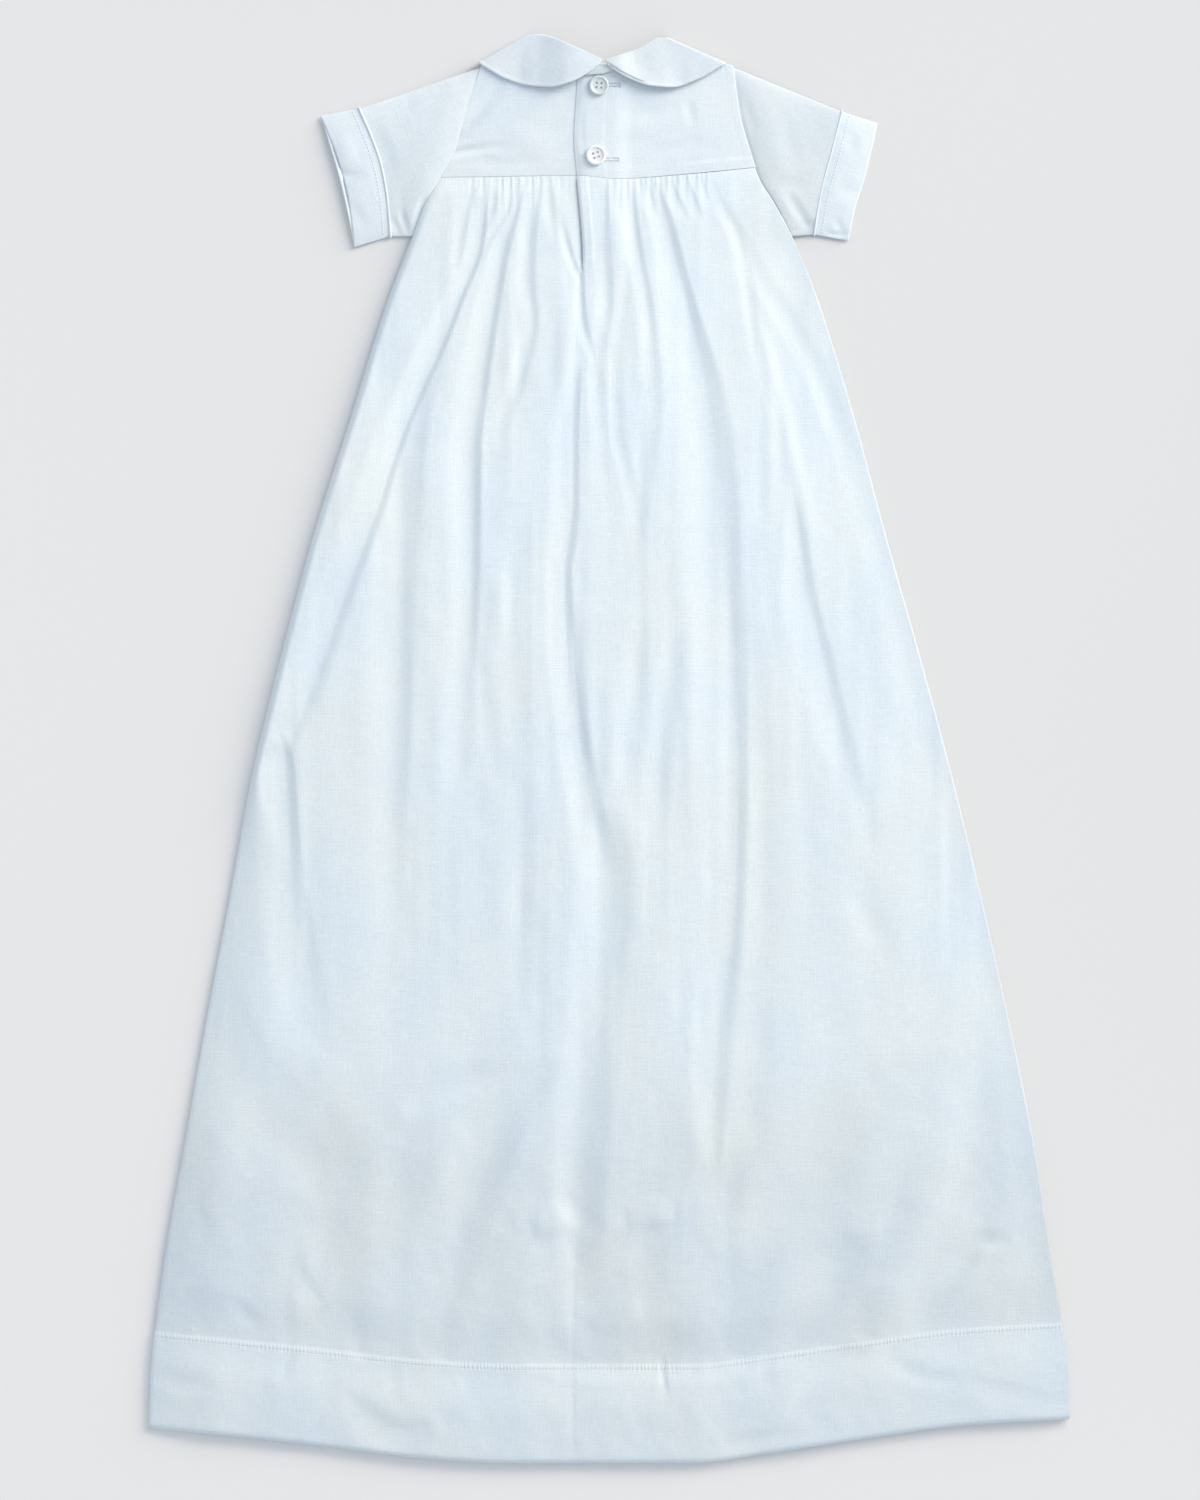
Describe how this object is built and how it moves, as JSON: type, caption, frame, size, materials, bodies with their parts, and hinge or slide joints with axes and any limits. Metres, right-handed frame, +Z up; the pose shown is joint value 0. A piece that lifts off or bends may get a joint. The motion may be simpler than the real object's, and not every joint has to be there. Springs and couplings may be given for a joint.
{
  "type": "christening gown, laid flat",
  "caption": "Long white cotton christening gown for a baby, laid flat with its back upwards: round collar, buttoned back yoke, short cuffed sleeves and a gathered flared skirt with a deep hem.",
  "frame": {"origin": "centre of the gown's outline, on the surface that it lies on", "axes": "+Y from the hem to the collar, +Z up out of the back of the gown, +X to the right when seen from above"},
  "size_m": [0.553, 0.8572, 0.0122],
  "materials": {
    "cotton": "matte, fine plain weave, bluish white",
    "piping": "matte, white",
    "button": "glossy white"
  },
  "bodies": {
    "root": {"skirt_front": "cotton", "skirt_back": "cotton", "yoke_front": "cotton", "yoke_back_left": "cotton", "yoke_back_right": "cotton", "neck_binding": "cotton", "collar_left": "cotton", "collar_right": "cotton", "sleeve_left": "cotton", "sleeve_right": "cotton", "cuff_left": "cotton", "cuff_right": "cotton", "piping_left": "piping", "piping_right": "piping", "button_upper": "button", "button_lower": "button"}
  },
  "joints": []
}
